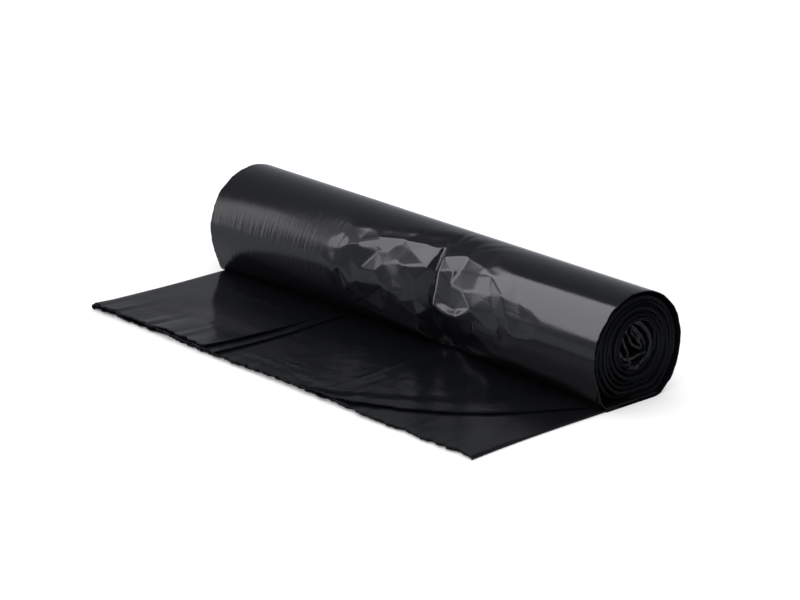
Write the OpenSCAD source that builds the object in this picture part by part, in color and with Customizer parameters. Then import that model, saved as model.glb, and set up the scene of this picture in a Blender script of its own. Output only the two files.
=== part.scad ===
// Roll of black polythene refuse sacks, wound without a core.
// One folded web of film makes it all: the loose end lies on the floor, passes under the
// roll, rises behind it, comes over the top and winds inwards from there.
// Millimetres. X runs along the roll, the loose end points to -Y, Z is up, and the origin
// lies at the middle of the footprint, on the floor.

/* [Roll] */
// Length of the roll, which is the width of the folded web
roll_length = 450; // [400:5:650]
// Width of the roll from its front to its back
roll_width = 94; // [86:1:120]
// Height of the roll, which sags a little where it rests
roll_height = 88; // [82:1:112]
// Sideways drift of the roll from its far end to its near end
roll_drift = 2.5; // [0:0.5:6]
// How far the outer turn sags forward at the two ends, just above the floor
end_sag = 8; // [0:0.5:12]

/* [Turns] */
// Turns of film inside the outer one
turn_count = 9; // [5:1:9]
// Distance from one turn to the next
turn_pitch = 3.5; // [3:0.1:3.7]
// Air between two turns
turn_gap = 0.9; // [0.5:0.1:1.3]
// Thickness of the outer turn, which is slack and stands apart from the rest
outer_film = 1.8; // [1:0.1:2.4]
// Extra slack between the outer turn and the next
outer_slack = 1; // [0.5:0.1:2]
// Air left between layers that rest on each other
rest_gap = 0.25; // [0.15:0.05:0.4]
// How far the turns lie back from the edge of the outer turn
end_recess = 2.6; // [1:0.1:6]
// How much the edge of the turns wanders in and out
end_wander = 1.1; // [0:0.1:2]
// How far the middle of the turns climbs from the outermost to the innermost
core_rise = 5.5; // [0:0.5:6]
// How far it shifts back
core_shift = 2.4; // [0:0.2:3]
// Thickness of the wad of film in the core
wad_radius = 4.6; // [3.5:0.1:6]

/* [Crumpled middle] */
// Distance of the deep crease from the far end
crease_from_end = 275; // [200:1:330]
// Depth of the crease
crease_depth = 7; // [0:0.5:7]
// Half width of the crease
crease_half_width = 9; // [6:0.5:14]
// How far the crease leans towards the far end as it climbs
crease_lean = 16; // [0:1:30]
// Depth of the dents beside the crease
dent_depth = 4.6; // [0:0.2:6]
// How far the crumpling reaches from the crease towards the far end
crumple_far = 122; // [116:1:150]
// How far it reaches towards the near end
crumple_near = 56; // [50:1:90]

/* [Loose end] */
// How far the loose end reaches in front of the roll's axis
tail_reach = 174; // [150:1:260]
// Thickness of each ply of the loose end
ply = 1.2; // [0.8:0.1:1.6]
// Height of the faint waves in the plies of the loose end
ripple_height = 0.16; // [0.05:0.01:0.3]
// Width of the upper ply folded in from the far side
upper_flap = 145; // [60:1:170]
// Width of the lower ply folded in from the far side
lower_flap = 158; // [80:1:185]
// Radius of the open fold at the far side
far_fold = 2.6; // [2.2:0.1:3.5]
// How high the free edge of the upper ply stands off the ply below
flap_lift = 1.6; // [0.6:0.1:4]
// Width of the ply folded in from the near side, along the front edge
near_flap = 125; // [60:1:150]
// Air inside the fold at the near side
near_gap = 0.6; // [0.2:0.1:1.5]
// Spacing of the teeth that the torn perforation leaves
tooth_pitch = 9; // [6:0.5:20]
// Depth of those teeth
tooth_depth = 1.4; // [0.5:0.1:3]

/* [Hidden] */
film_colour = [0.07, 0.07, 0.075];

half_length = roll_length / 2;
web = turn_pitch - turn_gap;
start_radius = (roll_width + turn_pitch) / 2;
axis_z = roll_height - turn_radius(90);
roll_back = turn_radius(0) + roll_drift / 2;
axis_y = (tail_reach - roll_back) / 2;
front_y = axis_y - tail_reach;

// The film leaves the floor behind the roll and comes back to it at the nip in front
lift_angle = -60;
nip_angle = 240;
merge_angle = 300;
turn_start = 264;
turn_end = turn_start + 360 * turn_count - 150;
turn_step = 12;
back_step = 12.5;
under_reach = 32;
nip_y = axis_y + turn_radius(nip_angle) * cos(nip_angle);
nip_overlap = 6;

// The wad in the core is curled round a point beside the middle of the innermost turn, and
// its thickest pleat is pressed into that turn
wad_pleats = 9;
wad_bite = 1;
wad_offset = 2.4;
wad_side = 30;
core_radius = turn_radius(turn_end) - outer_slack - web;
wad_reach = core_radius + wad_bite - wad_offset - wad_radius;

// The outer turn sags most at this angle
sag_angle = 238;
sag_spread = 20;

crease_x = crease_from_end - half_length;
crumple_angle = 100;
crumple_step = 7;
arc = PI * start_radius / 180;
// The crease from its top to its foot: angle and share of the lean, angle and share of the depth
crease_line = [[112, -1], [138, -0.5], [185, -0.2], [212, 0]];
crease_profile = [[110, 0], [126, 0.6], [143, 1], [185, 0.95], [217, 0.6], [240, 0]];
// Dents that run from one place to another. A place is a distance from the crease, an angle
// round the roll, and a share of the depth. The last number is the dent's half width.
dents = [
    [[-106, 151, 0.35], [-62, 136, 0.4], 9],
    [[-62, 136, 0.4], [-19, 141, 0.85], 14],
    [[-106, 153, 0.4], [-89, 166, 0.9], 14],
    [[-89, 166, 0.9], [-82, 196, 0.5], 16],
    [[-72, 143, 0.5], [-50, 163, 0.95], 15],
    [[-50, 163, 0.95], [-23, 179, 0.9], 18],
    [[-23, 179, 0.9], [-8, 199, 0.7], 13],
    [[-58, 203, 0.3], [-14, 209, 0.55], 11],
    [[-13, 143, 0.85], [-8, 171, 1.05], 12],
    [[5, 139, 0.7], [13, 158, 1.1], 17],
    [[13, 158, 1.1], [26, 169, 0.8], 15],
    [[26, 169, 0.8], [5, 174, 1.05], 9],
    [[5, 199, 0.9], [33, 197, 0.45], 12]
];

// Radius of the winding's outer face. The angle starts behind the roll and climbs over it.
function turn_radius(angle) = start_radius - turn_pitch * (angle + 90) / 360;
function pass(angle) = floor((angle + 270) / 360);
function bump(x, middle, half_width) = exp(-pow((x - middle) / half_width, 2));
function ramp(x, from, to) = let (t = min(1, max(0, (x - from) / (to - from)))) t * t * (3 - 2 * t);
function between(a, b, t) = a + (b - a) * t;
function joined(lists) = [for (list = lists) each list];

// How deep the outer turn is pressed in at a place along and round the roll. The creased film
// is flat from the bottom of a dent to its rim.
function crease_at(angle) = crease_x + crease_lean * lookup(angle, crease_line);
function crease(x, angle) = crease_depth * lookup(angle, crease_profile)
    * max(0, 1 - abs(x - crease_at(angle)) / crease_half_width);
function dent(d, x, angle) = let (
    run = [d[1][0] - d[0][0], arc * (d[1][1] - d[0][1])],
    away = [x - crease_x - d[0][0], arc * (angle - d[0][1])],
    t = min(1, max(0, away * run / (run * run)))
) dent_depth * between(d[0][2], d[1][2], t) * max(0, 1 - norm(away - t * run) / d[2]);
function pressed_in(x, angle) = max(concat([crease(x, angle)], [for (d = dents) dent(d, x, angle)]));

function drift(x) = roll_drift * x / roll_length;
function sag(x, angle) = end_sag * pow(abs(x) / half_length, 3) * bump(angle, sag_angle, sag_spread);

// A point of the outer turn, at a depth below its outer face
function outer_level(angle) = pass(angle) == 0 ? 0 : outer_film + rest_gap;
function outer_point(x, angle, depth) = let (r = turn_radius(angle) - depth - pressed_in(x, angle)) [
    x,
    axis_y + drift(x) + r * cos(angle) - sag(x, angle),
    max(outer_level(angle) + depth, axis_z + r * sin(angle))
];

// A point of the turns inside it. They flatten into layers where the roll rests, and their
// middle climbs from turn to turn.
function turn_level(angle) = outer_level(90) + outer_film / 2 + (pass(angle) - 1) * (web + rest_gap);
function turn_point(side, angle, depth) = let (
    r = turn_radius(angle) - outer_slack - depth,
    share = (angle - turn_start) / (turn_end - turn_start),
    recess = end_recess + end_wander * (sin(1.35 * angle) + 0.7 * sin(0.61 * angle + 40)),
    x = side * (half_length - recess)
) [
    x,
    axis_y + drift(x) + core_shift * share + r * cos(angle),
    max(turn_level(angle) + depth, axis_z + core_rise * share + r * sin(angle))
];

// Closed film between two grids of points. Rows run along X, and the film lies to the left of
// the first grid's columns.
module film(outer, inner) {
    rows = len(outer);
    cols = len(outer[0]);
    under = rows * cols;
    function at(i, j) = i * cols + j;
    function pair(a, b, c, d) = [[a, c, b], [a, d, c]];
    polyhedron(
        points = concat(joined(outer), joined(inner)),
        faces = concat(
            [for (i = [0 : rows - 2], j = [0 : cols - 2])
                each pair(at(i, j), at(i, j + 1), at(i + 1, j + 1), at(i + 1, j))],
            [for (i = [0 : rows - 2], j = [0 : cols - 2])
                each pair(under + at(i, j), under + at(i + 1, j),
                    under + at(i + 1, j + 1), under + at(i, j + 1))],
            [for (i = [0 : rows - 2])
                each pair(at(i, 0), at(i + 1, 0), under + at(i + 1, 0), under + at(i, 0))],
            [for (i = [0 : rows - 2])
                each pair(at(i + 1, cols - 1), at(i, cols - 1),
                    under + at(i, cols - 1), under + at(i + 1, cols - 1))],
            [for (j = [0 : cols - 2])
                each pair(at(0, j + 1), at(0, j), under + at(0, j), under + at(0, j + 1))],
            [for (j = [0 : cols - 2])
                each pair(at(rows - 1, j), at(rows - 1, j + 1),
                    under + at(rows - 1, j + 1), under + at(rows - 1, j))]
        ),
        convexity = 12
    );
}

// The outer turn, from under the roll up its back, over it and down to the nip. Its rows bend
// with the crease, so that one of them runs along its bottom.
module outer_turn() {
    angles = concat(
        [for (a = [lift_angle : back_step : 90]) a],
        [for (a = [crumple_angle : crumple_step : nip_angle]) a],
        [260, merge_angle]
    );
    rows_far = 2;
    rows_to_crease = 19;
    rows_from_crease = 9;
    rows_near = 3;
    crumple_from = crease_x - crumple_far;
    crumple_to = crease_x + crumple_near;
    function row(a) = concat(
        [for (i = [0 : rows_far - 1]) between(-half_length, crumple_from, i / rows_far)],
        [for (i = [0 : rows_to_crease - 1]) between(crumple_from, crease_at(a), i / rows_to_crease)],
        [for (i = [0 : rows_from_crease - 1]) between(crease_at(a), crumple_to, i / rows_from_crease)],
        [for (i = [0 : rows_near]) between(crumple_to, half_length, i / rows_near)]
    );
    rows = [for (a = angles) row(a)];
    function strip(i, depth) = concat(
        [[rows[0][i], axis_y + drift(rows[0][i]) - under_reach, depth]],
        [for (j = [0 : len(angles) - 1]) outer_point(rows[j][i], angles[j], depth)]
    );
    last = len(rows[0]) - 1;
    film([for (i = [0 : last]) strip(i, 0)], [for (i = [0 : last]) strip(i, outer_film)]);
}

// The turns inside, one long web wound inwards
module wound_turns() {
    angles = [for (a = [turn_start : turn_step : turn_end]) a];
    function strip(side, depth) = [for (a = angles) turn_point(side, a, depth)];
    film([strip(-1, 0), strip(1, 0)], [strip(-1, web), strip(1, web)]);
}

// The inner end of the web, a wad of pleats that leaves a crescent of air beside it. Each pleat
// narrows into the next.
module core_wad() {
    thickest = 3;
    module rod(i, share) {
        angle = wad_side - 36 * (i - thickest);
        radius = wad_radius * (0.8 + 0.2 * cos(71 * (i - thickest)));
        back = end_recess + 1.8 + 1.2 * (1 + sin(137 * i)) + 3 * (1 - share);
        translate([0.3 * i, wad_reach * cos(angle), wad_reach * sin(angle)])
            rotate([0, 90, 0])
                rotate(17 * i)
                    cylinder(r = share * radius, h = roll_length - 2 * back, center = true, $fn = 12);
    }
    translate([
        0,
        axis_y + core_shift + wad_offset * cos(wad_side),
        axis_z + core_rise + wad_offset * sin(wad_side)
    ])
        rotate(atan(roll_drift / roll_length))
            for (i = [0 : wad_pleats - 1]) hull() {
                rod(i, 1);
                rod(i + 1, 0.8);
            }
}

// Edges and heights of the folded web that makes the loose end. The share v runs from the
// front edge to the nip, where the roll presses the plies together.
function far_side(v) = 1.4 - half_length + 3.2 * pow(sin(150 * v + 30), 2);
function near_side(v) = half_length - 0.6 - 0.5 * sin(300 * v);
function pressed_ply(v) = ply * between(1, 0.65, ramp(v, 0.6, 1));
function far_radius(v) = between(far_fold, 1.35 * ply, ramp(v, 0.2, 1));
function near_radius(v) = pressed_ply(v) + near_gap / 2;
function upper_reach(v) = upper_flap + 2.2 * sin(220 * v);
function lower_reach(v) = lower_flap + 1.5 * sin(140 * v) - 5 * v;
function near_reach(v) = near_radius(0) + 0.8
    + (near_flap - near_radius(0)) * pow(max(0, 1 - v / 0.97), 1.2);

function ripple(x, v) = ripple_height * (1 - 0.7 * ramp(v, 0.5, 1))
    * (1 + sin(3.1 * x + 250 * v) * cos(1.7 * x - 410 * v));
function base_height(x, v) = ripple(x, v) * ramp(half_length - abs(x), 5, 30)
    + rest_gap * ramp(v, 0.7, 1);
function lower_height(x, v) = base_height(far_side(v) + x, v) + pressed_ply(v) + 0.2
    + 0.5 * ramp(x, 0, lower_flap) * (1 - v);
function upper_height(x, v) = 2 * far_radius(v) + ripple(x - far_radius(v), v) - ripple(0, v)
    + flap_lift * ramp(x, 0.35 * upper_flap, upper_flap) * ramp(1 - v, 0.05, 0.8);
function near_height(x, v) = 2 * near_radius(v) + ripple(x - near_radius(v), v) - ripple(0, v)
    + 0.5 * bump(x, near_reach(v), 20) * (1 - v);

// The web across its width: outer face, and the way to its inner face
function folded_web(v) = let (far = far_side(v), near = near_side(v), r = far_radius(v), n = near_radius(v))
    concat(
        [for (i = [0 : 8]) let (x = between(upper_reach(v), r, i / 8))
            [far + x, upper_height(x, v), 0, -1]],
        [for (a = [120 : 30 : 240]) [far + r * (1 + cos(a)), r * (1 + sin(a)), -cos(a), -sin(a)]],
        [for (i = [0 : 14]) let (x = between(far + r, near - n, i / 14))
            [x, base_height(x, v), 0, 1]],
        [for (a = [-60 : 30 : 60]) [near - n * (1 - cos(a)), n * (1 + sin(a)), -cos(a), -sin(a)]],
        [for (i = [0 : 6]) let (x = between(n, near_reach(v), i / 6))
            [near - x, near_height(x, v), 0, -1]]
    );

function front_edge(x) = front_y + tooth_depth * (0.9 + 0.5 * sin(2.1 * x) + 0.3 * sin(5.3 * x));
function tail_y(x, v) = between(front_edge(x), nip_y + nip_overlap, v);

// The folded web of the loose end, one film with an open fold at each side
module loose_end() {
    shares = [for (j = [0 : 7]) j / 7];
    webs = [for (v = shares) folded_web(v)];
    function face(share) = [for (i = [0 : len(webs[0]) - 1]) [for (j = [0 : len(shares) - 1])
        let (w = webs[j][i], depth = share * pressed_ply(shares[j]))
            [w[0] + depth * w[2], tail_y(w[0], shares[j]), w[1] + depth * w[3]]]];
    film(face(0), face(1));
}

// The second ply folded in from the far side, which lies inside the open fold
module lower_ply() {
    cols = 8;
    shares = [for (j = [0 : 6]) j / 6];
    function face(share) = [for (i = [0 : cols]) [for (v = shares)
        let (x = between(far_fold + 1, lower_reach(v), i / cols))
            [far_side(v) + x, tail_y(far_side(v) + x + 40, v), lower_height(x, v) + share * pressed_ply(v)]]];
    film(face(0), face(1));
}

// Teeth of the torn perforation along the front edge
module perforated_edge() {
    first = far_side(0) + far_fold + 2;
    last = near_side(0) - near_radius(0) - 3;
    teeth = floor((last - first) / tooth_pitch);
    step = (last - first) / teeth;
    low = 2 * ripple_height + 0.04;
    high = ply - 0.05;
    translate([0, 0, low]) linear_extrude(high - low) polygon(concat(
        [for (i = [0 : teeth - 1]) each [
            [first + (i + 0.14) * step, front_y + tooth_depth * (0.5 + 0.5 * sin(77 * i))],
            [first + (i + 0.8) * step, front_y + tooth_depth * (0.5 + 0.5 * cos(53 * i))],
            [first + (i + 1) * step, front_y + 2.2 * tooth_depth]
        ]],
        [[last, front_y + 3.6 * tooth_depth], [first, front_y + 3.6 * tooth_depth]]
    ));
}

module sack_roll() {
    color(film_colour) union() {
        outer_turn();
        wound_turns();
        core_wad();
        loose_end();
        lower_ply();
        perforated_edge();
    }
}

sack_roll();
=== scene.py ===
import math

import bpy
import numpy as np
from mathutils import Matrix, Vector
from mathutils.geometry import delaunay_2d_cdt


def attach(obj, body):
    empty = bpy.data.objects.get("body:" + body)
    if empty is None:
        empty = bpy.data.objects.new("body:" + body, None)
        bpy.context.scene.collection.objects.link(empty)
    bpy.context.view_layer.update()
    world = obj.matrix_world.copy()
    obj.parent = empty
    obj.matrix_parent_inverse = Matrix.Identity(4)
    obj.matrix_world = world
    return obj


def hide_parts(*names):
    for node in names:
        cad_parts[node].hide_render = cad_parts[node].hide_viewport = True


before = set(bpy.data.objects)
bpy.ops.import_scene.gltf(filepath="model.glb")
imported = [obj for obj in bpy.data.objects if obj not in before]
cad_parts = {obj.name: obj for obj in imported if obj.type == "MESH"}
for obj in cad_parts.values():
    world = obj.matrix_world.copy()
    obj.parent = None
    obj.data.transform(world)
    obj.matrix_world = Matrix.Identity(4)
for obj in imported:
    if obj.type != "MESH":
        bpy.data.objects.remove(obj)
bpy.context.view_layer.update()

# A coreless roll of black refuse sacks: one folded web of film, wound up, with its loose end on
# the floor. All shapes are worked out in millimetres in the CAD frame and put in as metres. X
# runs along the roll and the loose end reaches towards -Y. Angles round the roll are in degrees
# from +Y and climb over the top, the way the film runs. v runs along the loose end, from 0 at its
# torn front edge to 1 at the nip, where the outer turn meets it.

# The roll as a whole, as in the CAD
rollValues = dict(
    length=450.0, width=94.0, height=88.0,
    reach=174.0,  # of the loose end, in front of the roll's axis
    drift=2.5,  # how much further back the near end lies than the far one
    turnCount=9, turnPitch=3.5, turnGap=0.9,
    outerFilm=1.8,  # room for the outer turn where the others rest on it
    restGap=0.25,  # air between layers that rest on each other
    turnStart=264.0,  # where the turns inside the outer one begin
    nipAngle=240.0,
)

halfLength = rollValues["length"] / 2
web = rollValues["turnPitch"] - rollValues["turnGap"]
startRadius = (rollValues["width"] + rollValues["turnPitch"]) / 2


def turnRadius(angle):
    # the spiral's radius, which shrinks by one pitch a turn
    return startRadius - rollValues["turnPitch"] * (angle + 90) / 360


axisZ = rollValues["height"] - turnRadius(90)
axisY = (rollValues["reach"] - turnRadius(0) - rollValues["drift"] / 2) / 2
frontY = axisY - rollValues["reach"]
nipY = axisY + turnRadius(rollValues["nipAngle"]) * math.cos(math.radians(rollValues["nipAngle"]))
turnStart = rollValues["turnStart"]
turnEnd = turnStart + 360 * rollValues["turnCount"] - 150


# Material: black polythene, glossy on the roll. On the loose end the same film has its gloss
# lowered as painted shade. Torn or cut film hardly shines, partly as dull cut film and partly as
# painted shade between its plies

filmValues = dict(
    colour=(0.0045, 0.005, 0.0062, 1), refraction=1.5,
    rollGloss=0.5, shadedLooseGloss=0.2, shadedTornGloss=0.15,  # specular levels
    smooth=0.055,  # roughness of flat, clean film
    crinkleRough=0.185, streakRough=0.09, patchRough=0.07,  # what is added to it
    streakScale=(320, 26, 1), foldScale=(26, 95, 1), patchScale=(18, 18, 1),  # noise per metre
    streakHeight=0.00022, foldHeight=0.00048,  # metres
)


def filmGroup():
    # Height and roughness of the film, from the web's own UV in metres. Streaks are noise drawn
    # out along the web and folds are the ridges of noise drawn out across it. Each is scaled by
    # its mask, and slow patches vary the roughness.
    group = bpy.data.node_groups.new("filmSurface", "ShaderNodeTree")
    for name, way, kind in (("Place", "INPUT", "Vector"), ("Crinkle", "INPUT", "Float"),
                            ("Streak", "INPUT", "Float"), ("Height", "OUTPUT", "Float"),
                            ("Roughness", "OUTPUT", "Float")):
        group.interface.new_socket(name, in_out=way, socket_type="NodeSocket" + kind)
    nodes, links = group.nodes, group.links
    enter, leave = nodes.new("NodeGroupInput"), nodes.new("NodeGroupOutput")

    def stretched(scale, detail, rough):
        mapping = nodes.new("ShaderNodeMapping")
        mapping.inputs["Scale"].default_value = scale
        links.new(enter.outputs["Place"], mapping.inputs["Vector"])
        texture = nodes.new("ShaderNodeTexNoise")
        texture.inputs["Scale"].default_value = 1.0
        texture.inputs["Detail"].default_value = detail
        texture.inputs["Roughness"].default_value = rough
        links.new(mapping.outputs["Vector"], texture.inputs["Vector"])
        return texture.outputs["Fac"]

    def calc(kind, a, b):
        node = nodes.new("ShaderNodeMath")
        node.operation = kind
        for socket, value in zip(node.inputs, (a, b)):
            if isinstance(value, (int, float)):
                socket.default_value = value
            else:
                links.new(value, socket)
        return node.outputs[0]

    crinkle, streak = enter.outputs["Crinkle"], enter.outputs["Streak"]
    streaks = stretched(filmValues["streakScale"], 3, 0.55)
    folds = stretched(filmValues["foldScale"], 4, 0.6)
    ridges = calc("ABSOLUTE", calc("SUBTRACT", folds, 0.5), 0)
    patches = stretched(filmValues["patchScale"], 2, 0.5)
    height = calc("MULTIPLY", calc("MULTIPLY", streaks, streak), filmValues["streakHeight"])
    crease = calc("MULTIPLY", calc("MULTIPLY", ridges, crinkle), filmValues["foldHeight"])
    links.new(calc("ADD", height, crease), leave.inputs["Height"])
    rough = calc("ADD", calc("MULTIPLY", crinkle, filmValues["crinkleRough"]), filmValues["smooth"])
    rough = calc("ADD", rough, calc("MULTIPLY", streak, filmValues["streakRough"]))
    rough = calc("ADD", rough, calc("MULTIPLY", patches, filmValues["patchRough"]))
    links.new(rough, leave.inputs["Roughness"])
    return group


def filmMaterial(name, group, gloss):
    material = bpy.data.materials.new(name)
    material.use_nodes = True
    nodes, links = material.node_tree.nodes, material.node_tree.links
    shader = nodes["Principled BSDF"]
    shader.inputs["Base Color"].default_value = filmValues["colour"]
    shader.inputs["IOR"].default_value = filmValues["refraction"]
    shader.inputs["Specular IOR Level"].default_value = gloss
    surface = nodes.new("ShaderNodeGroup")
    surface.node_tree = group
    place = nodes.new("ShaderNodeUVMap")
    place.uv_map = "web"
    links.new(place.outputs["UV"], surface.inputs["Place"])
    for key, socket in (("crinkle", "Crinkle"), ("streak", "Streak")):
        mask = nodes.new("ShaderNodeAttribute")
        mask.attribute_name = key
        links.new(mask.outputs["Fac"], surface.inputs[socket])
    relief = nodes.new("ShaderNodeBump")
    relief.inputs["Distance"].default_value = 1.0
    links.new(surface.outputs["Height"], relief.inputs["Height"])
    links.new(relief.outputs["Normal"], shader.inputs["Normal"])
    links.new(surface.outputs["Roughness"], shader.inputs["Roughness"])
    return material


filmSurface = filmGroup()
blackFilm = filmMaterial("blackFilm", filmSurface, filmValues["rollGloss"])
# the loose end's film is the roll's film, with its gloss lowered as painted shade
shadedLooseFilm = filmMaterial("shadedLooseFilm", filmSurface, filmValues["shadedLooseGloss"])
# torn and cut film with little gloss: partly dull cut edges, partly painted shade in the gaps
# between the plies
shadedTornFilm = filmMaterial("shadedTornFilm", filmSurface, filmValues["shadedTornGloss"])
print("materials made")


# Small helpers

def sind(a):
    return np.sin(np.radians(a))


def cosd(a):
    return np.cos(np.radians(a))


def bump(x, middle, half):
    # a bell of height 1
    return np.exp(-((x - middle) / half) ** 2)


def ramp(x, low, high):
    # a smooth step from 0 to 1
    t = np.clip((x - low) / (high - low), 0, 1)
    return t * t * (3 - 2 * t)


def mix(a, b, t):
    return a + (b - a) * t


def softMax(a, b, width):
    # the larger of two values, with the corner between them rounded over that width
    d = np.clip((a - b) / width, -1, 1)
    return np.where(np.abs(a - b) >= width, np.maximum(a, b),
                    (a + b) / 2 + width * (1 + d * d) / 4)


def noise(x, y, seed):
    # smooth noise from -1 to 1: random values on whole numbers, blended by a smooth step
    rng = np.random.default_rng(seed)
    table = rng.uniform(-1, 1, (64, 64))
    xi, yi = np.floor(x).astype(int), np.floor(y).astype(int)
    fx, fy = x - xi, y - yi
    fx, fy = fx * fx * (3 - 2 * fx), fy * fy * (3 - 2 * fy)
    a = table[xi % 64, yi % 64]
    b = table[(xi + 1) % 64, yi % 64]
    c = table[xi % 64, (yi + 1) % 64]
    d = table[(xi + 1) % 64, (yi + 1) % 64]
    return mix(mix(a, b, fx), mix(c, d, fx), fy)


def stations(*runs):
    # joined runs of evenly spaced values, each given as (from, to, number of steps)
    steps = [np.linspace(a, b, n, endpoint=False) for a, b, n in runs]
    return np.concatenate(steps + [[runs[-1][1]]])


def addMesh(name, points, quads, uv, crinkle, streak=0.2, film=blackFilm, torn=None):
    # a smooth-shaded piece from points in millimetres, with the web's UV and the film's two masks
    mesh = bpy.data.meshes.new(name)
    mesh.vertices.add(len(points))
    mesh.vertices.foreach_set("co", (np.asarray(points, np.float32) * 0.001).ravel())
    mesh.loops.add(quads.size)
    mesh.loops.foreach_set("vertex_index", quads.ravel().astype(np.int32))
    mesh.polygons.add(len(quads))
    mesh.polygons.foreach_set("loop_start", np.arange(0, quads.size, 4, dtype=np.int32))
    mesh.update(calc_edges=True)
    layer = mesh.uv_layers.new(name="web")
    layer.data.foreach_set("uv", (np.asarray(uv, np.float32) * 0.001)[quads.ravel()].ravel())
    for key, value in (("crinkle", crinkle), ("streak", streak)):
        mask = np.broadcast_to(np.float32(value), len(points)).astype(np.float32)
        mesh.attributes.new(key, "FLOAT", "POINT").data.foreach_set("value", mask)
    mesh.polygons.foreach_set("use_smooth", np.ones(len(quads), bool))
    mesh.set_sharp_from_angle(angle=math.radians(50))
    mesh.validate()
    piece = bpy.data.objects.new(name, mesh)
    bpy.context.scene.collection.objects.link(piece)
    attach(piece, "root")
    mesh.materials.append(film)
    # torn or cut faces take the low-gloss film, which is partly painted shade between the plies
    if torn is not None:
        mesh.materials.append(shadedTornFilm)
        mesh.polygons.foreach_set("material_index", torn.astype(np.int32))
    return piece


def gridQuads(rows, cols, start, turned):
    i, j = np.meshgrid(np.arange(rows - 1), np.arange(cols - 1), indexing="ij")
    a = start + i * cols + j
    quads = np.stack([a, a + 1, a + cols + 1, a + cols], -1).reshape(-1, 4)
    return quads[:, ::-1] if turned else quads


def sheetPiece(name, outer, inner, uv, crinkle, streak=0.2, film=blackFilm, cut="front"):
    # A film between two grids of points, with its four edges closed. The torn or cut edge is the
    # one along the first column (front) or those along the first and last row (ends).
    rows, cols = outer.shape[:2]
    count = rows * cols
    index = np.arange(count).reshape(rows, cols)
    border = np.concatenate([index[0, :-1], index[:-1, -1], index[-1, :0:-1], index[:0:-1, 0]])
    after = np.roll(border, -1)
    rim = np.stack([after, border, border + count, after + count], -1)
    quads = np.concatenate([
        gridQuads(rows, cols, 0, False), gridQuads(rows, cols, count, True), rim,
    ])
    points = np.concatenate([outer.reshape(-1, 3), inner.reshape(-1, 3)])
    uv = np.tile(uv.reshape(-1, 2), (2, 1))
    crinkle, streak = (np.tile(mask.ravel(), 2) if np.ndim(mask) else mask
                       for mask in (crinkle, streak))
    row, column = quads % count // cols, quads % cols
    if cut == "ends":
        torn = (row == 0).all(axis=1) | (row == rows - 1).all(axis=1)
    else:
        torn = (column == 0).all(axis=1)
    return addMesh(name, points, quads, uv, crinkle, streak, film, torn)


# Camera at the photograph's angle, as fitted to the traced edges of the roll

scene = bpy.context.scene
scene.view_settings.view_transform = "Standard"
cameraData = bpy.data.cameras.new("camera")
cameraData.sensor_width = 36
cameraData.lens = 153
cameraData.clip_end = 20
camera = bpy.data.objects.new("camera", cameraData)
camera.matrix_world = Matrix((
    (0.66841164, -0.24009594, 0.7039743, 1.8913),
    (0.74379156, 0.2157633, -0.63262969, -1.6736),
    (0.0, 0.94646719, 0.32280004, 0.9006),
    (0.0, 0.0, 0.0, 1.0),
))
scene.collection.objects.link(camera)
scene.camera = camera


# Floor, surroundings and lights

stageValues = dict(
    floorSize=30, floorRough=0.9,
    floorColour=(0.90, 0.90, 0.90, 1),  # as the camera and the light see it
    floorInGloss=(0.46, 0.48, 0.52, 1),  # as the film mirrors it
    floorLift=0.19,  # what the camera sees on top, for a white background
    fill=1.15,  # even light on everything
    horizon=0.40, overhead=0.19,  # brightness of the room that the film mirrors, low and high
    horizonAt=0.1, overheadAt=0.75,  # and the heights, as sines, where it has those
    roomTint=(0.90, 0.92, 1, 1),
    panelLight=3.3, panelColour=(0.965, 0.965, 1.0),
)
# The lights are one tall panel by the far end, cut in three, and one low panel beyond the loose
# end's far corner. Each has its centre, the way its first side runs, the way it shines, its size
# and its share of the brightness. Another script fitted them to the edges of the photograph's
# highlights, and they were then cut and moved by hand.
sideAlong, sideToward = (-0.07, 0.977, -0.202), (0.995, 0.053, -0.09)
panelValues = dict(
    highPanel=((-229.8, -225.7, 750.7), sideAlong, sideToward, (594, 793), 1.0),
    midPanel=((-262.3, -399.6, 288.4), sideAlong, sideToward, (445.5, 186), 1.0),
    cornerPanel=((-283.1, -109.5, 228.4), sideAlong, sideToward, (148.5, 186), 0.15),
    lowPanel=((-530, -225, 5), (0.633, 0.765, -0.119), (0.719, -0.638, -0.274), (489, 491), 0.5),
)


def makeFloor():
    bpy.ops.mesh.primitive_plane_add(size=stageValues["floorSize"], location=(0, 0, 0))
    floor = bpy.context.object
    floor.name = "floor"
    material = bpy.data.materials.new("paleFloor")
    material.use_nodes = True
    nodes, links = material.node_tree.nodes, material.node_tree.links
    shader = nodes["Principled BSDF"]
    shader.inputs["Roughness"].default_value = stageValues["floorRough"]
    shader.inputs["Specular IOR Level"].default_value = 0.0
    path = nodes.new("ShaderNodeLightPath")
    colour = nodes.new("ShaderNodeMix")
    colour.data_type = "RGBA"
    colour.inputs["A"].default_value = stageValues["floorColour"]
    colour.inputs["B"].default_value = stageValues["floorInGloss"]
    links.new(path.outputs["Is Glossy Ray"], colour.inputs["Factor"])
    links.new(colour.outputs["Result"], shader.inputs["Base Color"])
    lift = nodes.new("ShaderNodeMath")
    lift.operation = "MULTIPLY"
    lift.inputs[1].default_value = stageValues["floorLift"]
    shader.inputs["Emission Color"].default_value = (1, 1, 1, 1)
    links.new(path.outputs["Is Camera Ray"], lift.inputs[0])
    links.new(lift.outputs[0], shader.inputs["Emission Strength"])
    floor.data.materials.append(material)


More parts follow.
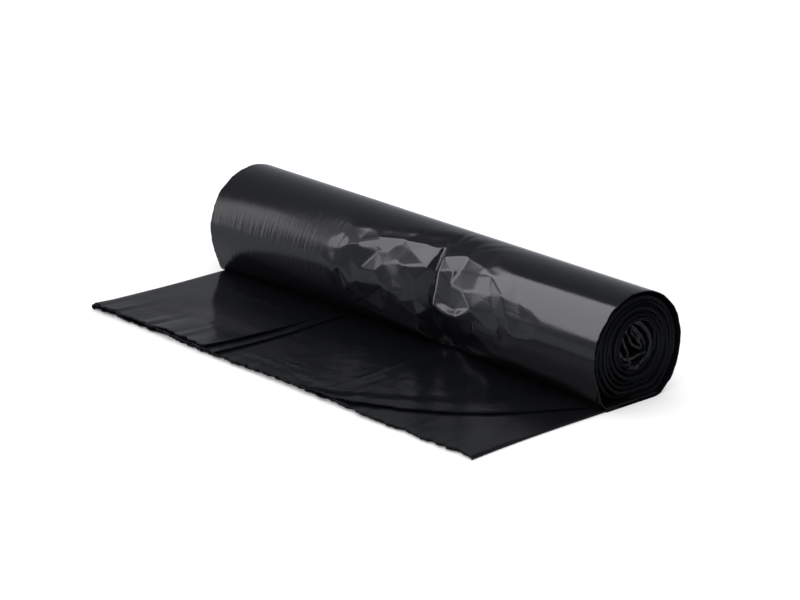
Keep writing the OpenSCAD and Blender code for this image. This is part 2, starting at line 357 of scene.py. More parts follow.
def makeWorld():
    # white to the camera, a grey room to the gloss, even light to everything else
    world = bpy.data.worlds.new("studio")
    world.use_nodes = True
    scene.world = world
    nodes, links = world.node_tree.nodes, world.node_tree.links
    nodes.clear()
    out = nodes.new("ShaderNodeOutputWorld")
    path = nodes.new("ShaderNodeLightPath")
    coords = nodes.new("ShaderNodeTexCoord")
    split = nodes.new("ShaderNodeSeparateXYZ")
    height = nodes.new("ShaderNodeMapRange")
    height.inputs["From Min"].default_value = stageValues["horizonAt"]
    height.inputs["From Max"].default_value = stageValues["overheadAt"]
    height.inputs["To Min"].default_value = stageValues["horizon"]
    height.inputs["To Max"].default_value = stageValues["overhead"]
    links.new(coords.outputs["Generated"], split.inputs[0])
    links.new(split.outputs["Z"], height.inputs["Value"])
    gloss = nodes.new("ShaderNodeMix")
    gloss.inputs["A"].default_value = stageValues["fill"]
    links.new(path.outputs["Is Glossy Ray"], gloss.inputs["Factor"])
    links.new(height.outputs["Result"], gloss.inputs["B"])
    seen = nodes.new("ShaderNodeMix")
    seen.inputs["B"].default_value = 1.0
    links.new(path.outputs["Is Camera Ray"], seen.inputs["Factor"])
    links.new(gloss.outputs["Result"], seen.inputs["A"])
    tint = nodes.new("ShaderNodeMix")
    tint.data_type = "RGBA"
    tint.inputs["A"].default_value = (1, 1, 1, 1)
    tint.inputs["B"].default_value = stageValues["roomTint"]
    links.new(path.outputs["Is Glossy Ray"], tint.inputs["Factor"])
    back = nodes.new("ShaderNodeBackground")
    links.new(tint.outputs["Result"], back.inputs["Color"])
    links.new(seen.outputs["Result"], back.inputs["Strength"])
    links.new(back.outputs[0], out.inputs["Surface"])


def addPanel(name, centre, along, toward, size, share):
    z = -Vector(toward).normalized()
    x = (Vector(along) - z * Vector(along).dot(z)).normalized()
    data = bpy.data.lights.new(name, "AREA")
    data.shape = "RECTANGLE"
    data.size, data.size_y = size[0] * 0.001, size[1] * 0.001
    data.color = stageValues["panelColour"]
    data.energy = share * stageValues["panelLight"] * math.pi * data.size * data.size_y
    light = bpy.data.objects.new(name, data)
    place = Matrix((x, z.cross(x), z)).transposed().to_4x4()
    place.translation = Vector(centre) * 0.001
    light.matrix_world = place
    light.visible_camera = False
    light.visible_diffuse = False
    scene.collection.objects.link(light)


makeFloor()
makeWorld()
for name, values in panelValues.items():
    addPanel(name, *values)
print("stage made")


# The outer turn, with its crumpled middle

outerValues = dict(
    skin=0.9,  # thickness of the film
    underFrom=-32.0, underTo=20.0,  # where it lies flat under the roll, from the axis
    floorBlend=1.5,  # how softly it leaves the floor
    # pairs below are the middle and half width of a bell, or the two ends of a smooth step
    endSag=8.0, sagAngle=(238, 20),  # how far its ends sag forward, and where
    cutBack=0.8, cutWave=0.6, cutTooth=0.4, cutRun=14.0,  # how unevenly its ends are cut
    cutSizes=(9, 3.6),  # degrees from one wave or tooth to the next
    fanX=42.0, fanAngle=122.0, fanHeight=0.22, fanCrest=0.3,  # faint folds over the top
    fanAlong=(62, 58), fanAround=(93, 13),
    creaseRadius=46.8,  # for distances round the roll, in the net of creases
    creaseEase=0.9,  # share of the way from the rim at which the creased film has its full depth
    creasePasses=1,  # how often its creases are softened
    scuffLeast=0.15, scuff=0.85, scuffAlong=(62, 78),  # scuffs on the far third
    slope=0.68,  # degrees for each millimetre that the streak beside the deep crease slants
    dull=0.75, dullAcross=(163, 9), dullAlong=(-2, 28),  # that streak is scuffed
    mottleLeast=0.1, mottle=0.75, mottleAcross=(163, 8), mottleAlong=(0, 27),  # and crinkled
    nearMottle=0.18, nearMottleAround=(165, 45), nearMottleAlong=(60, 45),  # right of the crease
    frayed=0.45, frayedAround=(154, 14),  # the lower edge of the near highlight
    frayedFrom=(80, 105), frayedTo=(150, 215), frayedLoss=0.6,
)
# The crumpled middle is a net of creases, as lines of places that the film is creased along:
# distance along the roll, angle round it, and how deep the film is pressed in there. A negative
# depth stands proud. The places were marked on the photograph. Another script laid them on the
# roll and searched for most of the depths, by matching the brightness that each facet mirrors to
# the photograph's.
creaseLines = dict(
    ridge=[(-71, 154, 1.5), (-60, 148, -0.1), (-49, 141, -0.6), (-28, 131, -0.3), (-5, 124, 0.9),
           (18, 119, 1.9), (30, 116, 2.3)],
    strip=[(-71, 154, 1.5), (-59, 151, 1), (-45, 144, 0), (-30, 137, 1), (-13, 130, 2.3),
           (5, 131, 2.7), (26, 141, 2.8), (31, 142, 3.8)],
    fold=[(-63, 151, 0.9), (-54, 160, 2), (-42, 167, 2.3), (-34, 182, 2.1), (-32, 196, 0.5)],
    blotch=[(-27, 143, 3), (-16, 154, 2.2), (-4, 164, 3.5), (10, 173, 4.9), (21, 181, 5.4),
            (25, 198, 3)],
    foot=[(-71, 154, 1.5), (-65, 172, 0.8), (-53, 189, 0.1), (-34, 198, 0.1), (-16, 206, 0.7),
          (10, 209, 1.7), (22, 208, 2.6), (31, 206, 6.3)],
    leftLip=[(30, 116, 2.3), (31, 128, 3.3), (31, 142, 3.8), (30, 167, 8.8), (31, 192, 8.3),
             (31, 206, 6.3), (32, 218, 5.8), (37, 231, 7.1)],
    crease=[(32, 113, 3.3), (35, 127, 5.4), (34.5, 141, 8.1), (34, 168, 12.3), (35, 193, 11.8),
            (35.5, 206, 10.4), (37, 219, 9.4), (43, 233, 6.6)],
    rightLip=[(35, 112, 2.5), (40, 127, 2.7), (39, 141, 6.1), (40, 167, 9.3), (41, 181, 6.5),
              (42, 191, 9.3), (43, 208, 8.6), (44, 222, 7.2), (49, 236, 4.2)],
    topRight=[(40, 127, 2.7), (60, 116, 3.1), (84, 123, 1.4)],
    facetRight=[(40, 127, 2.7), (55, 136, 3.9), (62, 134, 4.9), (84, 133, 1.9)],
    topFacet=[(60, 116, 3.1), (62, 134, 4.9)],
    ridgeRight=[(84, 133, 1.9), (85, 150, 3.4), (87, 169, 2.4), (90, 179, 2.5), (93, 191, 0.5)],
    shelfTop=[(41, 181, 6.5), (54, 175, 8.3), (69, 177, 6.4), (87, 169, 2.4)],
    shelfFoot=[(42, 191, 9.3), (55, 185, 4.3), (70, 183, 2.8), (90, 179, 2.5)],
    footRight=[(43, 208, 8.6), (63, 208, 6.6), (80, 203, 4.5), (93, 191, 0.5), (116, 191, -0.1)],
    baseRight=[(44, 222, 7.2), (62, 224, 4.6), (92, 217, 2.4)],
)
# Corners of facets between those lines. The first eight were marked on the photograph too, and
# the search added the others.
creasePlaces = [
    (-14, 177, 2.1), (5, 188, 2.5), (-18, 141, 2.9), (8, 148, 2.6), (20, 158, 4.9), (56, 152, 6.9),
    (72, 154, 4.7), (60, 164, 8.1), (97, 131, 0.5), (-3, 147, 2.9), (104, 149, 2.3), (119, 146, -1),
    (132, 147, 0.1), (-24, 165, 2.1), (111, 164, 2.9), (127, 164, 0.9), (141, 164, 1.3),
    (156, 163, 0.4), (-46, 182, 1.8), (-3, 179, 1), (105, 179, 2.2), (119, 179, 1.9), (133, 179, 0),
    (52, 197, 7.3), (66, 195, 5.8), (-62.2, 151.8, 1.1),
]
# The smooth film round the creases, where they have died out
creaseRim = [
    (-86, 156), (-80, 141), (-66, 130), (-45, 119), (-20, 108), (4, 98), (22, 90), (38, 85),
    (60, 88), (84, 97), (104, 112), (124, 128), (146, 143), (164, 153), (168, 168), (150, 184),
    (128, 198), (112, 214), (90, 226), (70, 238), (50, 244), (32, 236), (20, 222), (-10, 218),
    (-40, 212), (-62, 200), (-76, 186), (-84, 170),
]


def drift(x):
    return rollValues["drift"] * x / rollValues["length"]


def sag(x, angle):
    # grows with the cube of the distance from the middle
    return outerValues["endSag"] * (np.abs(x) / halfLength) ** 3 * bump(
        angle, *outerValues["sagAngle"])


def outerPoint(x, angle, depth):
    # On the spiral at this angle, less the depth. Where that would be under the floor, or in
    # front under the film's other end, it is lifted to that level, with the corner rounded.
    r = turnRadius(angle) - depth
    level = np.where(angle < 90, 0, rollValues["outerFilm"] + rollValues["restGap"])
    y = axisY + drift(x) + r * cosd(angle) - sag(x, angle)
    z = softMax(level, axisZ + r * sind(angle), outerValues["floorBlend"])
    return np.stack([x, y, z], -1)


def creased(x, angle):
    # The film is flat between its creases: the net's places are joined to triangles, each point
    # is spread over its triangle's three corners, and it eases into the smooth roll by its
    # share of the way from the rim.
    scale = math.radians(1) * outerValues["creaseRadius"]
    given, found, edges = [], {}, []

    def place(along, around, depth, weight):
        if (along, around) not in found:
            found[along, around] = len(given)
            given.append((along, around * scale, depth, weight))
        return found[along, around]

    for line in creaseLines.values():
        ids = [place(*spot, 1.0) for spot in line]
        edges += list(zip(ids, ids[1:]))
    for spot in creasePlaces:
        place(*spot, 1.0)
    rim = [place(*spot, 0.0, 0.0) for spot in creaseRim]
    edges += list(zip(rim, rim[1:] + rim[:1]))
    net = delaunay_2d_cdt([Vector(spot[:2]) for spot in given], edges, [], 1, 1e-4)
    # places where two creases cross take the depth of the nearest ones
    spots, given = np.array([tuple(spot) for spot in net[0]]), np.array(given)
    gap = np.linalg.norm(spots[:, None] - given[None, :, :2], axis=-1)
    near = 1 / (gap + 1e-6) ** 3
    near /= near.sum(1, keepdims=True)
    depth, weight = near @ given[:, 2], near @ given[:, 3]
    corner = outerPoint(spots[:, 0], spots[:, 1] / scale, depth)
    smooth = outerPoint(x, angle, np.zeros_like(x))
    result = smooth.copy()
    around = angle * scale
    for ids in net[2]:
        a, b, c = list(ids)
        (ax, ay), (bx, by), (cx, cy) = spots[[a, b, c]]
        area = (bx - ax) * (cy - ay) - (cx - ax) * (by - ay)
        if abs(area) < 1e-6:
            continue
        u = ((x - ax) * (cy - ay) - (cx - ax) * (around - ay)) / area
        w = ((bx - ax) * (around - ay) - (x - ax) * (by - ay)) / area
        inside = (u >= -1e-9) & (w >= -1e-9) & (u + w <= 1 + 1e-9)
        u, w = u[inside][:, None], w[inside][:, None]
        spread = corner[a] * (1 - u - w) + corner[b] * u + corner[c] * w
        share = weight[a] * (1 - u - w) + weight[b] * u + weight[c] * w
        result[inside] = mix(smooth[inside], spread, ramp(share, 0, outerValues["creaseEase"]))
    return result


def softened(grid, passes):
    # each point is averaged with its neighbours, which rounds the creases a little
    for _ in range(passes):
        for axis in (0, 1):
            count = grid.shape[axis]
            pad = np.concatenate([grid.take([0], axis), grid, grid.take([-1], axis)], axis)
            low, high = pad.take(range(count), axis), pad.take(range(2, count + 2), axis)
            grid = 0.25 * low + 0.5 * grid + 0.25 * high
    return grid


def thicken(points, depth):
    # the film's inner face, set back along the surface's own normal
    normal = np.cross(np.gradient(points, axis=1), np.gradient(points, axis=0))
    normal /= np.maximum(np.linalg.norm(normal, axis=-1, keepdims=True), 1e-9)
    return points - normal * depth


def makeOuterTurn():
    # A grid along the roll and round it: flat on the floor first, then up the back, over the top
    # and down to the nip. It is closest where the film is creased.
    xs = stations((-halfLength, -88, 50), (-88, 168, 216), (168, halfLength, 24))
    angles = stations((-60, 60, 24), (60, 245, 124), (245, 300, 7))
    x, a = np.meshgrid(xs, angles, indexing="ij")
    wave, tooth = outerValues["cutSizes"]
    uneven = (outerValues["cutBack"] + outerValues["cutWave"] * noise(a / wave, 0 * a, 51)
              + outerValues["cutTooth"] * noise(a / tooth, 0 * a, 52))
    x = x - np.sign(x) * uneven * ramp(np.abs(x), halfLength - outerValues["cutRun"], halfLength)
    under = axisY + np.linspace(outerValues["underFrom"], outerValues["underTo"], 6)
    ux, uy = np.meshgrid(xs, under, indexing="ij")
    flat = np.stack([ux, uy + drift(ux), np.zeros_like(ux)], -1)
    relief = creased(x, a) - outerPoint(x, a, np.zeros_like(x))
    # the faint folds fan out from the head of the deep crease: noise by the direction from there
    dx, da = x - outerValues["fanX"], a - outerValues["fanAngle"]
    folds = noise(np.degrees(np.arctan2(da, dx)) / 5 + 50, np.hypot(dx, da) / 30, 41)
    folds = (outerValues["fanHeight"] * folds * bump(x, *outerValues["fanAlong"])
             * bump(a, *outerValues["fanAround"]))
    smooth = outerPoint(x, a, outerValues["fanCrest"] * np.abs(folds) + folds)
    outer = np.concatenate([flat, smooth + softened(relief, outerValues["creasePasses"])], 1)
    step = np.linalg.norm(np.diff(outer[:1], axis=1), axis=-1)
    along = np.concatenate([[0], np.cumsum(step[0])])
    uv = np.stack(np.broadcast_arrays(xs[:, None], along[None, :]), -1)

    # masks: the far third is scuffed, a dull streak slants down beside the deep crease, and the
    # film is mottled there, right of the crease and along the lower edge of the near highlight
    slant = a - outerValues["slope"] * x
    dull = (outerValues["dull"] * bump(slant, *outerValues["dullAcross"])
            * bump(x, *outerValues["dullAlong"]))
    scuffed = outerValues["scuffLeast"] + outerValues["scuff"] * ramp(
        -ux[:, :1], *outerValues["scuffAlong"])
    scuffed = scuffed + np.concatenate([0 * ux, dull], 1)
    mottled = (outerValues["mottleLeast"]
               + outerValues["mottle"] * bump(slant, *outerValues["mottleAcross"])
               * bump(x, *outerValues["mottleAlong"])
               + outerValues["nearMottle"] * bump(x, *outerValues["nearMottleAlong"])
               * bump(a, *outerValues["nearMottleAround"])
               + outerValues["frayed"] * ramp(x, *outerValues["frayedFrom"])
               * (1 - outerValues["frayedLoss"] * ramp(x, *outerValues["frayedTo"]))
               * bump(a, *outerValues["frayedAround"]))
    mottled = np.concatenate([np.full(ux.shape, outerValues["mottleLeast"]), mottled], 1)
    piece = sheetPiece("outerTurn", outer, thicken(outer, outerValues["skin"]), uv,
                       mottled, scuffed, cut="ends")
    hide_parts("sack_roll")


makeOuterTurn()
print("outer turn made")


# The turns inside it, one long web wound inwards

woundValues = dict(
    slack=1.0,  # air between the outer turn and these
    step=3.0,  # degrees
    innerEnd=2766.0,  # from here inwards the web is folded over itself and no longer round
    recess=2.6, wander=1.1,  # how far its edge lies back from the outer turn's, and wanders
    coreRise=5.5, coreShift=2.4,  # how far the middle of the turns moves up and back, inwards
    pressed=8.5,  # how far the crumples press in the first turns
    pressedLoss=0.2,  # the share of it that each turn takes off
    pressedFrom=(-95, -45), pressedTo=(95, 150),  # smooth steps along the roll
    pressedTop=(112, 142), pressedFoot=(212, 250),  # and round it
    edgeWave=0.5, edgeTooth=0.25,  # how rough its edge is
    floorBlend=3.0, crinkle=0.6,
)
# The web's section at its edges, which show two plies: how far it is drawn in from the edge, and
# the share of the web's thickness
woundEdge = [(14, 0.0), (5, 0.0), (1.2, 0.0), (0.3, 0.13), (0.0, 0.3), (0.4, 0.44), (1.5, 0.5),
             (0.5, 0.56), (0.1, 0.72), (0.4, 0.9), (1.3, 1.0), (6, 1.0)]


def pressedTurns(x, angle):
    # the turns give way under the crumpled middle of the outer one
    around = angle % 360
    return (woundValues["pressed"] * ramp(x, *woundValues["pressedFrom"])
            * (1 - ramp(x, *woundValues["pressedTo"])) * ramp(around, *woundValues["pressedTop"])
            * (1 - ramp(around, *woundValues["pressedFoot"])))


def turnPoint(x, angle, depth):
    # On the spiral at this angle, less the slack, the depth and what the crumples press in, which
    # dies out from turn to turn. The spiral's middle moves up and back towards its inner end.
    # Where it would sink into the layers below, it is lifted to its own layer's level.
    order = np.floor((angle + 270) / 360)
    left = np.clip(1.1 - woundValues["pressedLoss"] * order, 0, 1)
    r = turnRadius(angle) - woundValues["slack"] - depth - pressedTurns(x, angle) * left
    share = (angle - turnStart) / (turnEnd - turnStart)
    level = (rollValues["outerFilm"] * 1.5 + rollValues["restGap"]
             + (order - 1) * (web + rollValues["restGap"]))
    y = axisY + drift(x) + woundValues["coreShift"] * share + r * cosd(angle)
    z = softMax(level + depth, axisZ + woundValues["coreRise"] * share + r * sind(angle),
                woundValues["floorBlend"])
    return np.stack([x, y, z], -1)


def makeWoundTurns():
    # The web's section runs along its outer face, round the near edge, back along its inner face
    # and round the far edge. It is swept inwards along the spiral, and its two ends are closed.
    angles = np.arange(turnStart, woundValues["innerEnd"] + 1, woundValues["step"])
    a = angles[:, None]
    middle = np.linspace(-120, 165, 20)
    pull, share = np.array(woundEdge).T
    wander = woundValues["wander"] * (sind(1.35 * a) + 0.7 * sind(0.61 * a + 40))

    def edge(side, seed):
        rough = (woundValues["edgeWave"] * noise(a / 14, 0 * a + seed, 3)
                 + woundValues["edgeTooth"] * noise(a / 4.0, pull[None, :] / 3, seed))
        return side * (halfLength - woundValues["recess"] - wander - rough - pull[None, :])

    flat = np.broadcast_to(middle, (len(angles), len(middle)))
    x = np.concatenate([flat, edge(1, 4), flat[:, ::-1], edge(-1, 9)[:, ::-1]], 1)
    depth = web * np.concatenate([0 * middle, share, 0 * middle + 1, share[::-1]])
    grid = turnPoint(x, np.broadcast_to(a, x.shape), depth[None, :])
    rows, cols = grid.shape[:2]
    i, j = np.meshgrid(np.arange(rows - 1), np.arange(cols), indexing="ij")
    k = (j + 1) % cols
    quads = np.stack([i * cols + j, (i + 1) * cols + j, (i + 1) * cols + k, i * cols + k], -1)
    uv = np.stack(np.broadcast_arrays(x, 1.6 * np.arange(1, rows + 1)[:, None]), -1)
    loop = np.roll(np.arange(cols), 6)
    outerSide, innerSide = loop[:cols // 2], loop[cols // 2:][::-1]
    caps = []
    for row, turned in ((0, False), (rows - 1, True)):
        o, n = row * cols + outerSide, row * cols + innerSide
        cap = np.stack([o[:-1], o[1:], n[1:], n[:-1]], -1)
        caps.append(cap[:, ::-1] if turned else cap)
    # the web takes the low-gloss film, partly for its cut edges and partly as painted shade between
    # its rings
    addMesh("woundTurns", grid.reshape(-1, 3), np.concatenate([quads.reshape(-1, 4)] + caps),
            uv.reshape(-1, 2), woundValues["crinkle"], film=shadedTornFilm)


makeWoundTurns()
print("wound turns made")


# The crumpled inner end of the web

coreValues = dict(
    stack=1.0, outerStack=0.6,  # half the folded web's thickness, and what its first part adds
    thinFrom=11, thinTo=17,  # where that dies out, in places along the path below
    recess=2.2, innerRecess=1.6, wander=1.1, tooth=0.5,  # how its edge lies back and wanders
    crush=0.45, crinkle=0.8,
)
# Its course, seen from the near end: across from the roll's axis, and up. It goes on from the last
# turn, folds back twice and leaves a crescent of air.
corePath = [
    (-6, 28), (2, 26.8), (11, 29.5), (17, 36), (18, 44.5), (14, 53.5), (7, 60), (-1, 64), (-9, 65),
    (-15.5, 61.5), (-18.7, 54), (-19.5, 45), (-17, 37.5), (-11.5, 32), (-5.5, 30.2), (-4, 32),
    (-6.5, 34.4), (-12, 38), (-16, 45), (-16, 53), (-14.8, 57.6), (-13, 58), (-12, 53), (-9, 47),
    (-6, 41.5), (-5.5, 37), (-3, 34.4), (3, 34.4), (9, 35.6), (13.6, 37.4), (14, 42), (11, 48.5),
    (5.5, 54.5), (0, 59.5), (-4.6, 61), (-6, 58), (-4.2, 52), (-1, 46), (4, 42.3), (8.5, 40.4),
    (10, 42.3), (6.4, 46.5), (2, 51), (-1.4, 56), (0.6, 57), (5, 52), (9, 46.6),
]


def smoothPath(points, count):
    # a smooth line through points (Catmull-Rom)
    p = np.array([points[0]] + list(points) + [points[-1]], float)
    t = np.linspace(0, len(points) - 1 - 1e-6, count)
    i, f = t.astype(int), (t % 1)[:, None]
    a, b, c, d = p[i], p[i + 1], p[i + 2], p[i + 3]
    return b + 0.5 * f * (c - a + f * (2 * a - 5 * b + 4 * c - d + f * (3 * (b - c) + d - a)))


def makeCoreWeb():
    # The course is swept along the roll. Each face lies half the stack's thickness to its side of
    # the course, along the course's normal, and noise crushes both the same way.
    steps = 9  # to each place of the course
    count = 420
    path = smoothPath(corePath, count)
    tangent = np.gradient(path, axis=0)
    tangent /= np.linalg.norm(tangent, axis=1, keepdims=True)
    side = np.stack([-tangent[:, 1], tangent[:, 0]], -1)
    t = np.arange(count) / steps
    ends = (coreValues["recess"] + coreValues["wander"] * noise(t, 0 * t, 21)
            + coreValues["tooth"] * noise(t * 2.3, 0 * t, 22)
            + coreValues["innerRecess"] * ramp(t, 20, 36))
    share = stations((-1, -0.93, 8), (-0.93, 0.93, 10), (0.93, 1, 14))[:, None]
    x = share * (halfLength - woundValues["recess"] - ends[None, :])
    half = coreValues["stack"] + coreValues["outerStack"] * (
        1 - ramp(t, coreValues["thinFrom"], coreValues["thinTo"]))
    crush = coreValues["crush"] * noise(x / 7, t[None, :] * 1.3 + 0 * x, 23)

    def face(sign):
        offset = sign * half[None, :] + crush
        y = axisY + drift(x) + path[None, :, 0] + offset * side[None, :, 0]
        z = path[None, :, 1] + offset * side[None, :, 1]
        return np.stack([x, y, z], -1)

    step = np.linalg.norm(np.diff(path, axis=0), axis=1)
    along = np.concatenate([[0], np.cumsum(step)])
    uv = np.stack(np.broadcast_arrays(x, along[None, :]), -1)
    # the folded web takes the low-gloss film, partly for its cut edges and partly as painted shade
    # in the core's hollow
    sheetPiece("coreWeb", face(-1), face(1), uv, coreValues["crinkle"], film=shadedTornFilm)


makeCoreWeb()
print("core web made")


# The loose end on the floor, folded in from the far side and from the near side

looseValues = dict(
    ply=1.2, pressed=0.65,  # thickness, and the share of it that is left at the nip
    upperFlap=145.0, nearFlap=155.0,  # how far the two flaps reach in
    farFold=2.6, nearGap=0.2,  # radius of the far bend, and air inside the near one
    flapLift=1.6,  # how high the upper flap's free edge springs up
    frontRise=2.0, frontRun=0.42,  # how high the torn edge springs up, and over what share of v
    toothDepth=2.0,  # of the torn perforation
    farInset=1.4, farWave=3.2,  # how the far side lies back from the roll's end, and waves
    nearInset=1.2, nearWave=0.5, nearFlare=5.2,  # and the near side, which flares at its corner
    ripple=0.16,  # height of the faint waves
    # heights of the wrinkles, with the middle and half width of each patch along X and Y
    streakWrinkle=0.32, streakAlong=(-15, 62), streakAcross=(-92, 20),
    fanWrinkle=0.3, fanAlong=(40, 60), fanAcross=(-68, 34), fanX=60.0, fanY=40.0,
    longFold=0.55, foldX=47.0, foldY=-16.0, foldSlope=0.1, foldWidth=1.7,
    faintWrinkle=0.14, fineWrinkle=0.05, upperWrinkle=0.16, nearWrinkle=0.25,
    upperFold=0.55, upperFoldAt=0.66, upperFoldSlope=0.0004, upperFoldWidth=0.02,
    upperCrinkle=0.12, crinkle=0.55,
)


def farSide(v):
    wave = sind(150 * v + 30) ** 2
    return looseValues["farInset"] - halfLength + looseValues["farWave"] * wave


def nearSide(v):
    return (halfLength - looseValues["nearInset"] + looseValues["nearFlare"] * (1 - v) ** 2
            - looseValues["nearWave"] * sind(300 * v))


def plyAt(v):
    return looseValues["ply"] * mix(1, looseValues["pressed"], ramp(v, 0.6, 1))


def farRadius(v):
    return mix(looseValues["farFold"], 1.35 * looseValues["ply"], ramp(v, 0.2, 1))


def nearRadius(v):
    return plyAt(v) + looseValues["nearGap"] / 2


def upperReach(v):
    return looseValues["upperFlap"] + 2.2 * sind(220 * v)


def nearReach(v):
    # the near flap's free edge runs straight from the torn edge into the near end of the roll
    start = nearRadius(0)
    return start + 0.8 + (looseValues["nearFlap"] - start) * np.clip(1 - v / 0.97, 0, 1)


def frontEdge(x):
    torn = 0.6 * noise(x / 4.5, 0 * x, 11) + 0.45 * noise(x / 1.7, 0 * x, 12)
    return frontY + looseValues["toothDepth"] * (
        0.9 + 0.4 * sind(2.1 * x) + 0.25 * sind(5.3 * x) + torn)


def tailY(x, v):
    return mix(frontEdge(x), nipY + 6, v)


def ripple(x, v):
    # two crossing waves, calmer towards the nip
    return (looseValues["ripple"] * (1 - 0.7 * ramp(v, 0.5, 1))
            * (1 + sind(3.1 * x + 250 * v) * cosd(1.7 * x - 410 * v)))


def wrinkles(x, v):
    # streaks along the roll near the front, a fan of folds below the deep crease and one long
    # fold from its foot to the front edge, all raised
    y = tailY(x, v)
    around = np.degrees(np.arctan2(y - looseValues["fanY"], x - looseValues["fanX"]))
    streaks = (bump(x, *looseValues["streakAlong"]) * bump(y, *looseValues["streakAcross"])
               * (1 + noise(x / 30, y / 4.0, 31)))
    fan = (bump(x, *looseValues["fanAlong"]) * bump(y, *looseValues["fanAcross"])
           * (1 + noise(around / 3.4 + 40, y / 30, 32)))
    beside = x - looseValues["foldX"] + looseValues["foldSlope"] * (y - looseValues["foldY"])
    fold = np.exp(-np.abs(beside) / looseValues["foldWidth"]) * ramp(y, -112, -80)
    total = (looseValues["streakWrinkle"] * streaks + looseValues["fanWrinkle"] * fan
             + looseValues["longFold"] * fold
             + looseValues["faintWrinkle"] * (1 + noise(x / 21, y / 9, 33))
             + looseValues["fineWrinkle"] * (1 + noise(x / 8, y / 5, 34)))
    return total * ramp(halfLength - np.abs(x), 2, 25) * (1 - ramp(v, 0.72, 0.95))


def frontLift(x, v):
    # the torn edge has sprung up off the floor a little, most at the far corner
    rise = (looseValues["frontRise"] * (0.75 + 0.25 * sind(1.3 * x + 60))
            + 0.35 * noise(x / 7, 0 * x, 37))
    return rise * np.clip(1 - v / looseValues["frontRun"], 0, 1) ** 2


def baseHeight(x, v):
    return (ripple(x, v) * ramp(halfLength - np.abs(x), 5, 30) + wrinkles(x, v) + frontLift(x, v)
            + rollValues["restGap"] * ramp(v, 0.7, 1))


def upperHeight(x, v):
    # from the far bend's top the flap rises to its free edge, with one fold across it
    r = farRadius(v)
    flap = looseValues["upperFlap"]
    wrinkle = noise(x / 34, v * 11, 35) * ramp(x, 0, 20) * (1 - ramp(v, 0.8, 1))
    beside = v - looseValues["upperFoldAt"] - looseValues["upperFoldSlope"] * x
    fold = np.exp(-np.abs(beside) / looseValues["upperFoldWidth"]) * ramp(x, 25, 50)
    return (2 * r + ripple(x - r, v) - ripple(0, v) + frontLift(x - halfLength, v)
            + looseValues["flapLift"] * ramp(x, 0.35 * flap, flap) * ramp(1 - v, 0.05, 0.8)
            + looseValues["upperWrinkle"] * wrinkle + looseValues["upperFold"] * fold)


def nearHeight(x, v):
    r = nearRadius(v)
    wrinkle = (1 + noise(x / 16, v * 7, 36)) * ramp(x, 4, 24) * (1 - ramp(v, 0.6, 0.9))
    return (2 * r + ripple(x - r, v) - ripple(0, v) + frontLift(halfLength - x, v)
            + looseValues["nearWrinkle"] * wrinkle)


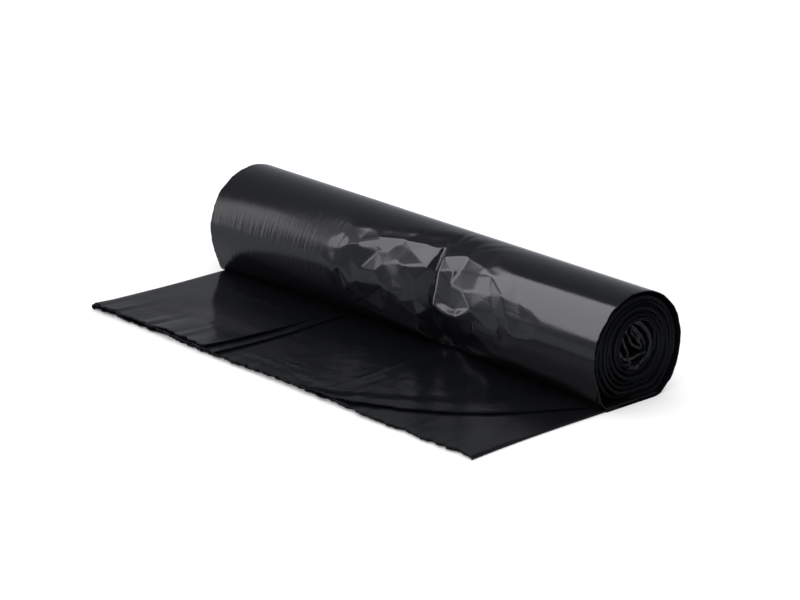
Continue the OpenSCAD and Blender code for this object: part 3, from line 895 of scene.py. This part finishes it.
def makeLooseEnd():
    # A section across the web, drawn along v from the torn edge to the nip: the upper flap from
    # its free edge, a half circle round the far side, the base, a half circle round the near side
    # and the near flap. Each place has the way in which the film's thickness is set off.
    v = np.linspace(0, 1, 76)[None, :]
    far, near, r, n = farSide(v), nearSide(v), farRadius(v), nearRadius(v)

    def strip(x, z, nx, nz):
        return np.stack(np.broadcast_arrays(x, z, nx, nz), -1)

    x = mix(upperReach(v), r, np.linspace(0, 1, 72, endpoint=False)[:, None])
    upper = strip(far + x, upperHeight(x, v), 0, -1)
    a = np.linspace(90, 270, 13)[1:-1, None]
    farBend = strip(far + r * (1 + cosd(a)), r * (1 + sind(a)), -cosd(a), -sind(a))
    x = mix(far + r, near - n, np.linspace(0, 1, 300)[:, None])
    base = strip(x, baseHeight(x, v), 0, 1)
    a = np.linspace(-90, 90, 11)[1:-1, None]
    nearBend = strip(near - n * (1 - cosd(a)), n * (1 + sind(a)), -cosd(a), -sind(a))
    x = mix(n, nearReach(v), np.linspace(0, 1, 50)[:, None])
    flap = strip(near - x, nearHeight(x, v), 0, -1)
    path = np.concatenate([upper, farBend, base, nearBend, flap])
    vv = np.broadcast_to(v, path.shape[:2])

    def face(share):
        d = share * plyAt(vv)
        x = path[..., 0] + d * path[..., 2]
        return np.stack([x, tailY(path[..., 0], vv), path[..., 1] + d * path[..., 3]], -1)

    outer, inner = face(0), face(1)
    step = np.linalg.norm(np.diff(outer[:, :1, ::2], axis=0), axis=-1)
    across = np.concatenate([[[0]], np.cumsum(step, 0)])
    uv = np.stack(np.broadcast_arrays(across, outer[..., 1]), -1)
    crinkle = np.full(vv.shape, looseValues["crinkle"])
    crinkle[:len(upper)] = looseValues["upperCrinkle"]
    sheetPiece("looseEnd", outer, inner, uv, crinkle, film=shadedLooseFilm)


def layPly(name, x, y, low, film, crinkle):
    # a ply of this thickness over a grid of heights
    bottom = np.stack([x, y, low], -1)
    top = np.stack([x, y, low + film], -1)
    sheetPiece(name, bottom, top, np.stack([x, y], -1), crinkle, film=shadedLooseFilm)


makeLooseEnd()
print("loose end made")


# The lower of the two plies that are folded in from the far side

lowerValues = dict(reach=158.0, gap=1.1, spring=0.5, crinkle=0.6)


def makeLowerPly():
    # from inside the far bend to its own reach: one ply and the gap above the base, and its free
    # edge springs up towards the torn edge
    v = np.linspace(0, 1, 76)[None, :]
    reach = lowerValues["reach"] + 1.5 * sind(140 * v) - 5 * v
    inward = mix(looseValues["farFold"] + 1, reach, np.linspace(0, 1, 80)[:, None])
    x = farSide(v) + inward
    low = (baseHeight(x, v) + plyAt(v) + lowerValues["gap"]
           + lowerValues["spring"] * ramp(inward, 0, lowerValues["reach"]) * (1 - v))
    layPly("lowerPly", x, tailY(x + 40, v), low, plyAt(v), lowerValues["crinkle"])


makeLowerPly()


# The ply over the middle of the web, which ends at the dark diagonal line near the near end

middleValues = dict(
    film=0.85, gap=0.12, crinkle=0.5, start=-105.0,
    edge=(88, 310, -290, 114),  # where it ends, as a cubic in v
    rise=1.65, lip=0.35,  # how it climbs towards that edge, over the near flap
)


def makeMiddlePly():
    # from its start to its edge: one ply and the gap above the base, climbing to its edge, which
    # a small lip ends
    v = np.linspace(0, 1, 76)[None, :]
    edge = sum(part * v ** power for power, part in enumerate(middleValues["edge"]))
    x = mix(middleValues["start"], edge, np.linspace(0, 1, 150)[:, None])
    rise = (middleValues["rise"] * ramp(x - edge, -60, -24) * (1 - 0.6 * ramp(v, 0.7, 1))
            + middleValues["lip"] * ramp(x - edge, -5, 0))
    low = baseHeight(x, v) + plyAt(v) + middleValues["gap"] + rise
    y = tailY(x + 17, v) + 6 * ramp(x, 70, 90) * (1 - v)
    layPly("middlePly", x, y, low, middleValues["film"], middleValues["crinkle"])


makeMiddlePly()
print("inner plies made")
